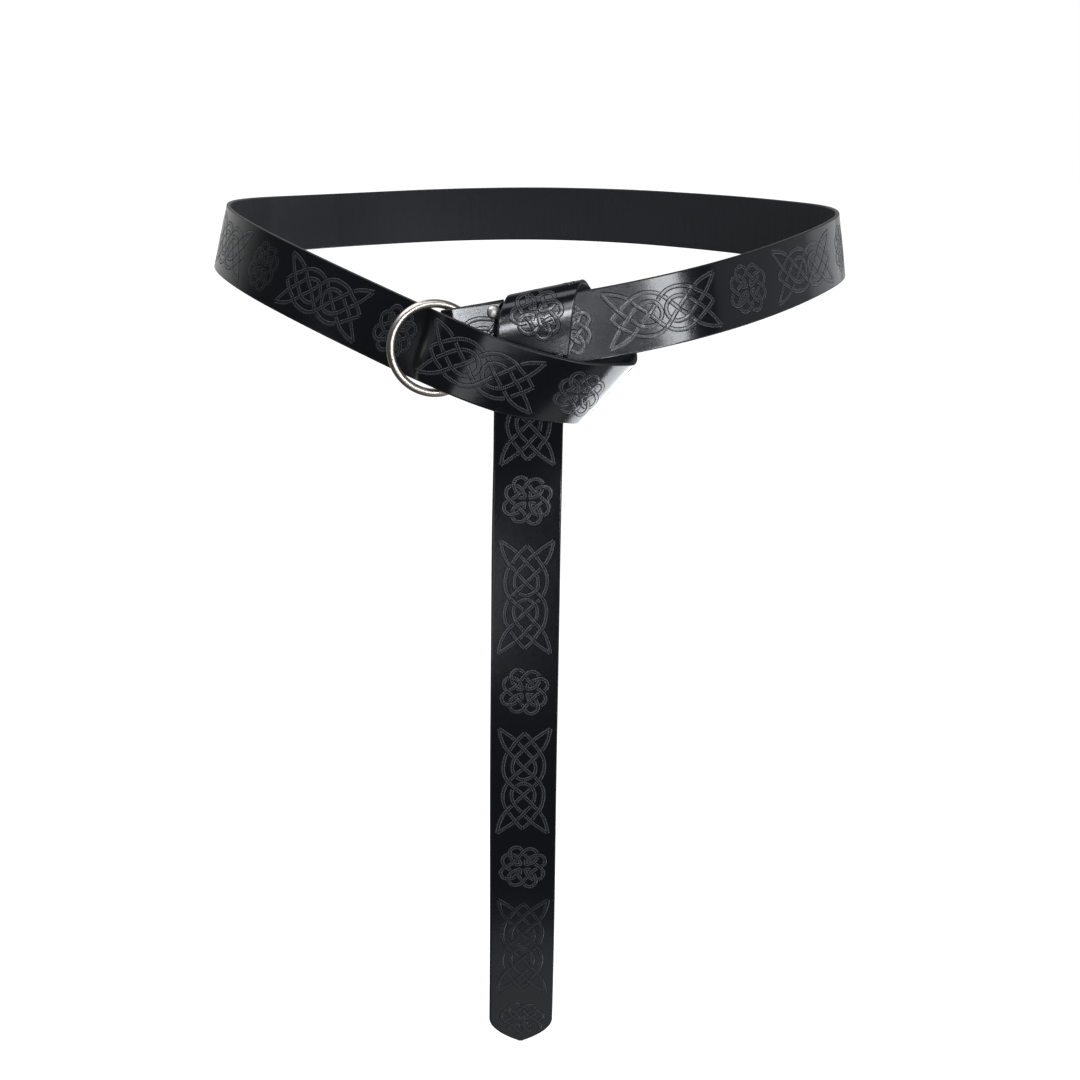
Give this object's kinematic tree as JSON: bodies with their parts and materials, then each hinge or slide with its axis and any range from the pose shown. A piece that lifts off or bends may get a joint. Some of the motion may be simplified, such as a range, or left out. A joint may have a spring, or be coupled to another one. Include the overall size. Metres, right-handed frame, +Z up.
{
  "type": "leather ring belt",
  "caption": "Knotted leather ring belt: a long strap with embossed knotwork through a round steel ring, looped over itself, its pointed end hanging down in front.",
  "frame": {"origin": "the middle of the waist that the belt goes round, at the height of its knot's top edge", "axes": "+Z up along the waist, -Y to the front where the knot and the hanging end are, +X to the wearer's left"},
  "size_m": [0.3884, 0.397, 0.4965],
  "materials": {
    "strap_leather": "smooth black leather with a soft gloss, embossed on its outer face, matte inside",
    "ring_steel": "polished nickel plate",
    "rivet_steel": "polished nickel plate"
  },
  "bodies": {
    "root": {"strap": "strap_leather", "ring": "ring_steel", "rivet_upper": "rivet_steel", "rivet_lower": "rivet_steel"}
  },
  "joints": []
}
